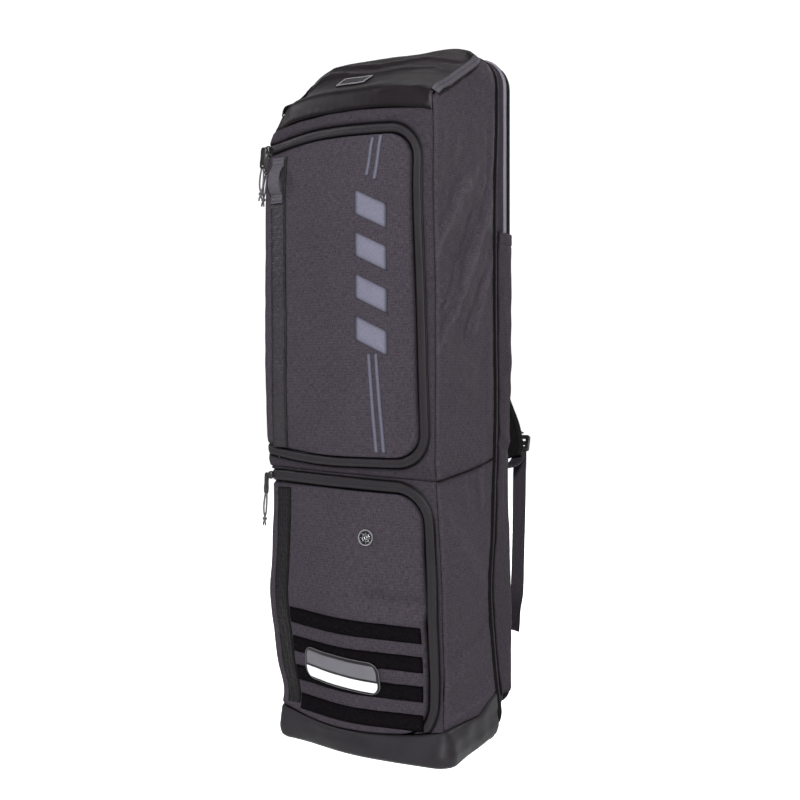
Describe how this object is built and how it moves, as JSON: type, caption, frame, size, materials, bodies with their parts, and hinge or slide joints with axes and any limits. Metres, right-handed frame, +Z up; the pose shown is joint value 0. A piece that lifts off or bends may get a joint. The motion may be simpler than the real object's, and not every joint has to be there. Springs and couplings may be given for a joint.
{
  "type": "hockey stick bag",
  "caption": "Tall upright bag for hockey sticks, with zipped upper and lower front doors, a coated lid and base, a padded back and shoulder straps.",
  "frame": {"origin": "on the floor under the flat base, on the bag's middle line", "axes": "+Z up, front doors facing -Y, +X to the right as seen from the front"},
  "size_m": [0.3168, 0.3164, 1.0153],
  "materials": {
    "heather": "matte",
    "coated": "satin",
    "boot_rubber": "matte",
    "zip_band": "satin",
    "loop_pile": "matte",
    "grey_webbing": "matte",
    "black_webbing": "matte",
    "mesh_padding": "matte",
    "patch_cloth": "matte",
    "black_plastic": "satin",
    "steel": "satin",
    "cord_grey": "matte"
  },
  "bodies": {
    "root": {"lid": "coated", "lid_strip_left": "grey_webbing", "lid_strip_right": "grey_webbing", "lid_badge": "zip_band", "upper_zip": "zip_band", "front_upper": "heather", "upper_door": "heather", "lower_zip": "zip_band", "front_lower": "heather", "lower_door": "heather", "side_upper_left": "heather", "side_upper_right": "heather", "side_lower_left": "heather", "side_lower_right": "heather", "base_boot": "boot_rubber", "rear_zip": "zip_band", "back_gusset": "heather", "back_piping": "grey_webbing", "back_panel": "mesh_padding", "back_sleeve": "heather", "upper_tape": "coated", "lower_tape": "coated", "loop_strip_1": "loop_pile", "loop_strip_2": "loop_pile", "loop_strip_3": "loop_pile", "loop_strip_4": "loop_pile", "name_patch": "patch_cloth", "webbing_loop": "grey_webbing", "vent_eyelet": "steel", "slider_upper_front": "black_plastic", "slider_upper_side": "black_plastic", "slider_lower": "black_plastic", "pull_tab_upper_front": "black_plastic", "pull_tab_upper_side": "black_plastic", "pull_tab_lower": "black_plastic", "pull_cord_upper_front": "cord_grey", "pull_cord_upper_side": "cord_grey", "pull_cord_lower": "cord_grey", "pull_knot_upper_front": "cord_grey", "pull_knot_upper_side": "cord_grey", "pull_knot_lower": "cord_grey", "shoulder_strap_left": "mesh_padding", "shoulder_strap_right": "mesh_padding", "strap_webbing_left": "black_webbing", "strap_webbing_right": "black_webbing", "lock_tab_left": "black_webbing", "lock_tab_right": "black_webbing", "webbing_tail_left": "black_webbing", "webbing_tail_right": "black_webbing", "ladder_lock_left": "black_plastic", "ladder_lock_right": "black_plastic"}
  },
  "joints": []
}
